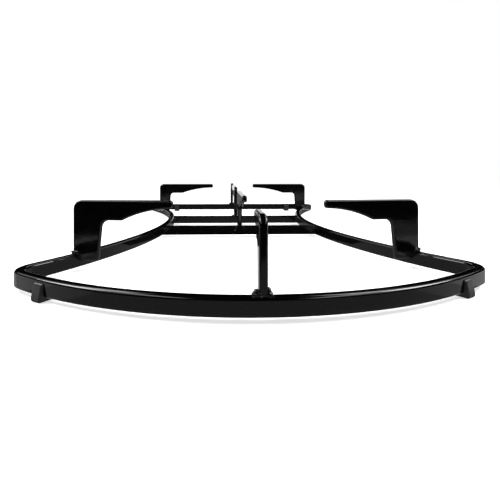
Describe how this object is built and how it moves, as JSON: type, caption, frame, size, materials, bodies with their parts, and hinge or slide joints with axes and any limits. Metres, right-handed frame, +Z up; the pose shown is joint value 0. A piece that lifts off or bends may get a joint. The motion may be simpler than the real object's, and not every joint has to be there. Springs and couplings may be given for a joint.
{
  "type": "hob pan support",
  "caption": "Welded and enamelled black steel pan support for a gas hob: an hourglass loop of bar on rubber feet with crossbars and upright finger plates around a large and a small burner.",
  "frame": {"origin": "On the hob's top, under the middle of the support's box", "axes": "+X to the right seen from the front of the hob, +Y to the back of the hob, +Z up"},
  "size_m": [0.2684, 0.4598, 0.0467],
  "materials": {
    "enamelled_steel": "gloss black vitreous enamel over mild steel",
    "foot_rubber": "matte dark grey rubber"
  },
  "bodies": {
    "root": {"outer_frame": "enamelled_steel", "front_crossbar": "enamelled_steel", "rear_crossbar": "enamelled_steel", "front_burner_front_finger": "enamelled_steel", "front_burner_rear_finger": "enamelled_steel", "front_burner_left_finger": "enamelled_steel", "front_burner_right_finger": "enamelled_steel", "rear_burner_front_finger": "enamelled_steel", "rear_burner_rear_finger": "enamelled_steel", "rear_burner_left_finger": "enamelled_steel", "rear_burner_right_finger": "enamelled_steel", "front_left_foot": "foot_rubber", "front_right_foot": "foot_rubber", "rear_left_foot": "foot_rubber", "rear_right_foot": "foot_rubber"}
  },
  "joints": []
}
